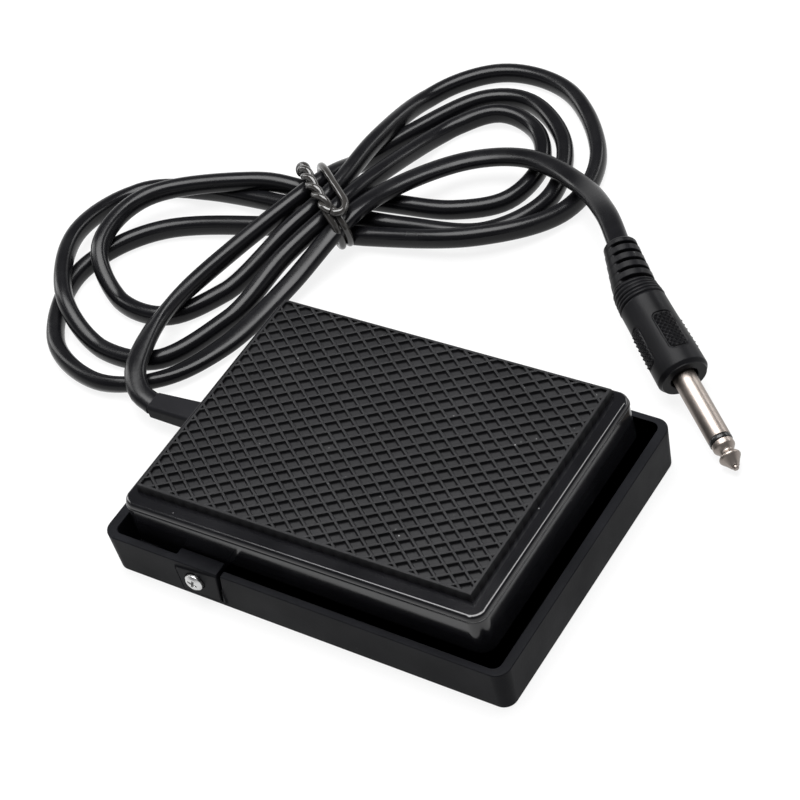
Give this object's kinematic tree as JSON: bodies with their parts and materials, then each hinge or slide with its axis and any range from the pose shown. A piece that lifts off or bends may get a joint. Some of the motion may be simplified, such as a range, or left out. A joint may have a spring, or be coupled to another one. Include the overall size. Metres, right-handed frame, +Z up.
{
  "type": "sustain pedal",
  "caption": "Foot pedal for a keyboard: sprung treadle rocking in a shallow tray, with a switch, a tied cord and a quarter-inch plug.",
  "frame": {"origin": "bottom centre of the pedal as it lies on the surface, measured without the cord, tie, plug and strain relief", "axes": "+X from the cord end to the toe end along the pedal's length, +Y to the side the cord bundle lies on, +Z up"},
  "size_m": [0.2211, 0.2105, 0.0285],
  "materials": {
    "tray_plastic": "matte",
    "treadle_plastic": "semi-gloss",
    "mat_rubber": "matte",
    "sheet_rubber": "matte",
    "zinc_screw": "bright zinc",
    "bush_brass": "satin",
    "spring_steel": "satin",
    "switch_plastic": "matte",
    "plunger_plastic": "matte",
    "sleeve_rubber": "matte",
    "cord_jacket": "gloss",
    "brown_wire": "gloss",
    "blue_wire": "gloss",
    "tie_plastic": "gloss",
    "handle_plastic": "satin",
    "insulator_plastic": "gloss",
    "plug_nickel": "bright nickel"
  },
  "bodies": {
    "base": {"base_tray": "tray_plastic", "foot_sheet": "sheet_rubber", "pivot_screws": "zinc_screw", "return_spring": "spring_steel", "stop_pads": "sheet_rubber", "switch_body": "switch_plastic", "switch_terminals": "bush_brass", "switch_screws": "zinc_screw", "cord_sleeve": "sleeve_rubber", "cord_entry": "cord_jacket", "cord_clamp": "tray_plastic", "clamp_screws": "zinc_screw", "lead_brown": "brown_wire", "lead_blue": "blue_wire", "cord": "cord_jacket", "twist_tie": "tie_plastic", "plug_handle": "handle_plastic", "plug_sleeve": "plug_nickel", "plug_insulator": "insulator_plastic", "plug_tip": "plug_nickel"},
    "treadle_arm": {"treadle": "treadle_plastic", "tread_mat": "mat_rubber", "pivot_bushes": "bush_brass"},
    "plunger": {"switch_plunger": "plunger_plastic"}
  },
  "joints": [
    {"name": "treadle_hinge", "type": "hinge", "parent": "base", "child": "treadle_arm", "pos_m": [-0.0315, 0, 0.0079], "axis": [0, 1, 0], "range_deg": [0, 4.5], "stiffness_Nm_per_rad": 9, "springref_deg": -3.84, "deforming": ["return_spring"]},
    {"name": "plunger_slide", "type": "slide", "parent": "base", "child": "plunger", "axis": [0, 0, -1], "range_m": [0, 0.00119]}
  ],
  "couplings": [
    {"joint": "plunger_slide", "follows": "treadle_hinge", "m_per_rad": 0.015}
  ]
}
